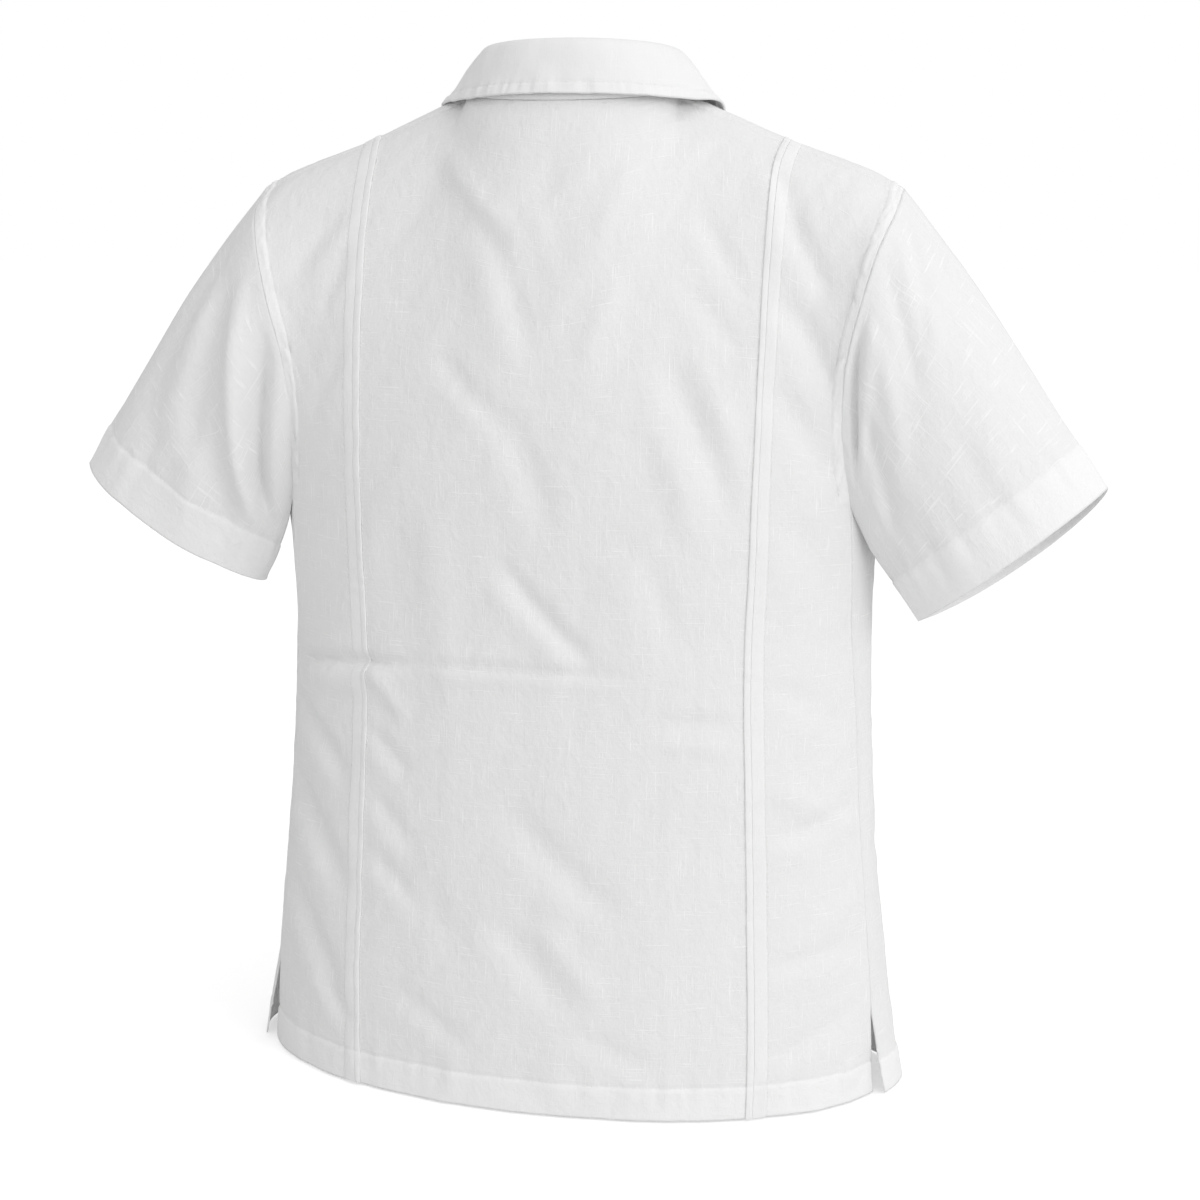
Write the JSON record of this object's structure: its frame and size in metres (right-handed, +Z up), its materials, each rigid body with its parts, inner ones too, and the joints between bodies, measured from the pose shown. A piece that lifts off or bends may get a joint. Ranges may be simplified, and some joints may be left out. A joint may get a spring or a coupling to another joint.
{
  "type": "guayabera shirt",
  "caption": "Short-sleeved straight-hem shirt with stitched vertical tuck bands, turned-down collar, button front and side vents, filled out as worn.",
  "frame": {"origin": "on the shoulder line, midway between the two neck points, where the wearer's shoulders carry the shirt", "axes": "+Z up; the front faces -Y; the wearer's left is +X"},
  "size_m": [0.7848, 0.2549, 0.7729],
  "materials": {
    "cloth": "matte slubbed white cotton and linen weave",
    "tuck_cloth": "matte white cloth, folded and stitched flat",
    "button": "satin, pearly off-white"
  },
  "bodies": {
    "root": {"back": "cloth", "front_left": "cloth", "front_right": "cloth", "sleeve_left": "cloth", "sleeve_right": "cloth", "collar_stand": "cloth", "collar_leaf": "cloth", "tuck_pin_back_left": "tuck_cloth", "tuck_band_back_left": "tuck_cloth", "tuck_pin_back_right": "tuck_cloth", "tuck_band_back_right": "tuck_cloth", "tuck_pin_front_left": "tuck_cloth", "tuck_band_front_left": "tuck_cloth", "tuck_pin_front_right": "tuck_cloth", "tuck_band_front_right": "tuck_cloth", "button_1": "button", "button_2": "button", "button_3": "button", "button_4": "button", "button_5": "button", "button_6": "button", "button_7": "button"}
  },
  "joints": []
}
